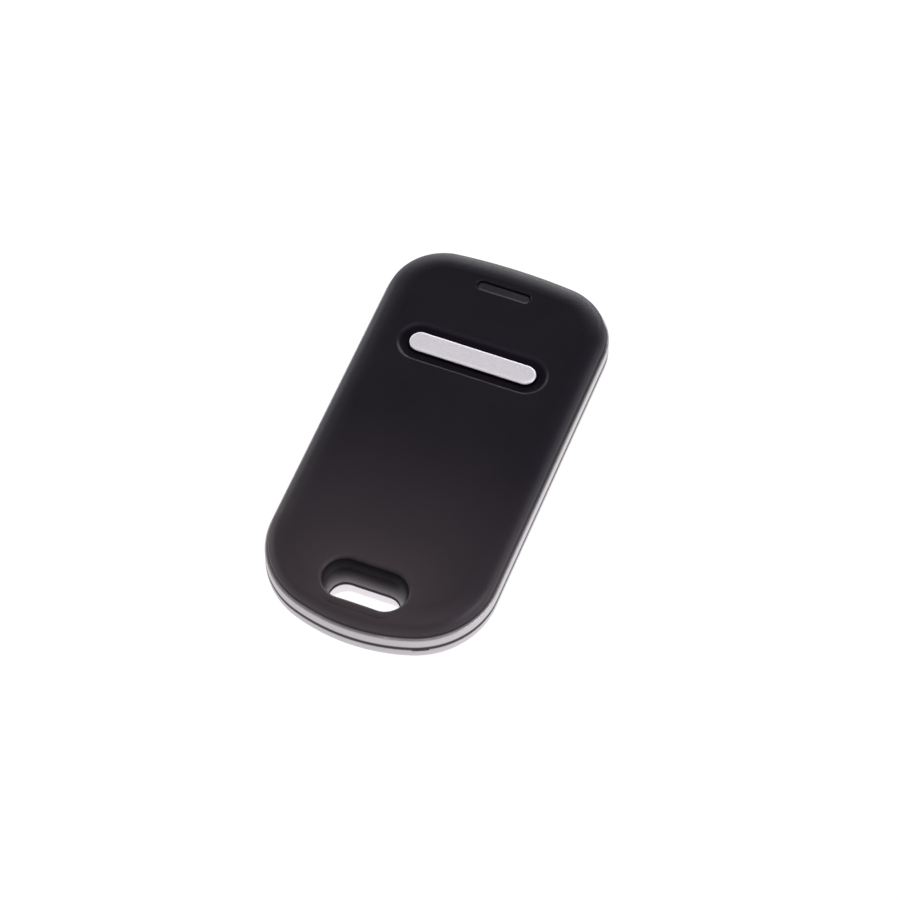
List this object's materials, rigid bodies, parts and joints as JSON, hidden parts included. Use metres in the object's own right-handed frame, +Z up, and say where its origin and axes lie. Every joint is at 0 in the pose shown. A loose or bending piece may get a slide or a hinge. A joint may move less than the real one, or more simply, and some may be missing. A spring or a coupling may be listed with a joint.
{
  "type": "car immobiliser remote fob",
  "caption": "Slim hand-held car immobiliser remote: black front cover, silver rear shell, one long push button, a light window and a keyring slot.",
  "frame": {"origin": "centre of the underside, which the fob lies on", "axes": "+Z up out of the button, +Y to the end with the light window, the keyring slot at the -Y end, +X to the right when the light end points away"},
  "size_m": [0.034, 0.0658, 0.0091],
  "materials": {
    "soft_touch_black": "moulded plastic with a fine matte soft-touch coat",
    "silver_lacquer": "moulded plastic with a satin silver lacquer",
    "silver_button": "moulded plastic with a satin silver lacquer, a little finer than the shells",
    "smoked_lens": "smoked clear plastic with a polished top",
    "dark_seal": "matte dark sealing rubber",
    "pad_silicone": "matte grey silicone",
    "board_laminate": "glass-fibre laminate with green solder mask",
    "switch_moulding": "matte black moulding",
    "spring_steel": "fine-drawn spring steel, bright",
    "screw_steel": "zinc plated",
    "chip_resin": "fine matte moulding resin",
    "tinned_lead": "matte tin",
    "led_package": "white package with a clear dome",
    "crystal_can": "drawn can, satin",
    "gold_lid": "thin gold-coloured plating",
    "aerial_strip": "tinned copper strip",
    "ferrite": "sintered, dull",
    "winding_copper": "enamelled copper wire, close wound",
    "capacitor_ceramic": "fired ceramic",
    "resistor_film": "glazed film on ceramic",
    "cell_can": "nickel-plated can, lightly brushed"
  },
  "bodies": {
    "case": {"front_cover": "soft_touch_black", "middle_frame": "silver_lacquer", "rear_cover": "silver_lacquer", "case_seal": "dark_seal", "slot_seal": "dark_seal", "indicator_lens": "smoked_lens", "key_pad": "pad_silicone", "circuit_board": "board_laminate", "board_screws": "screw_steel", "switch_base": "switch_moulding", "switch_cover": "spring_steel", "switch_dome": "spring_steel", "status_led": "led_package", "microcontroller": "chip_resin", "microcontroller_leads": "tinned_lead", "radio_chip": "chip_resin", "radio_chip_leads": "tinned_lead", "crystal": "crystal_can", "saw_resonator": "gold_lid", "loop_antenna": "aerial_strip", "transponder_core": "ferrite", "transponder_winding": "winding_copper", "chip_capacitors": "capacitor_ceramic", "chip_resistors": "resistor_film", "coin_cell": "cell_can", "battery_clip": "spring_steel", "battery_contact": "spring_steel"},
    "button": {"button_cap": "silver_button"},
    "plunger": {"switch_plunger": "switch_moulding"}
  },
  "joints": [
    {"name": "button_press", "type": "slide", "parent": "case", "child": "button", "axis": [0, 0, -1], "range_m": [0, 0.0003], "stiffness_N_per_m": 2000, "springref_m": -0.0003, "deforming": ["key_pad"]},
    {"name": "plunger_press", "type": "slide", "parent": "case", "child": "plunger", "axis": [0, 0, -1], "range_m": [0, 0.00024], "deforming": ["switch_dome"]}
  ],
  "couplings": [
    {"joint": "plunger_press", "follows": "button_press", "ratio": 0.8}
  ]
}
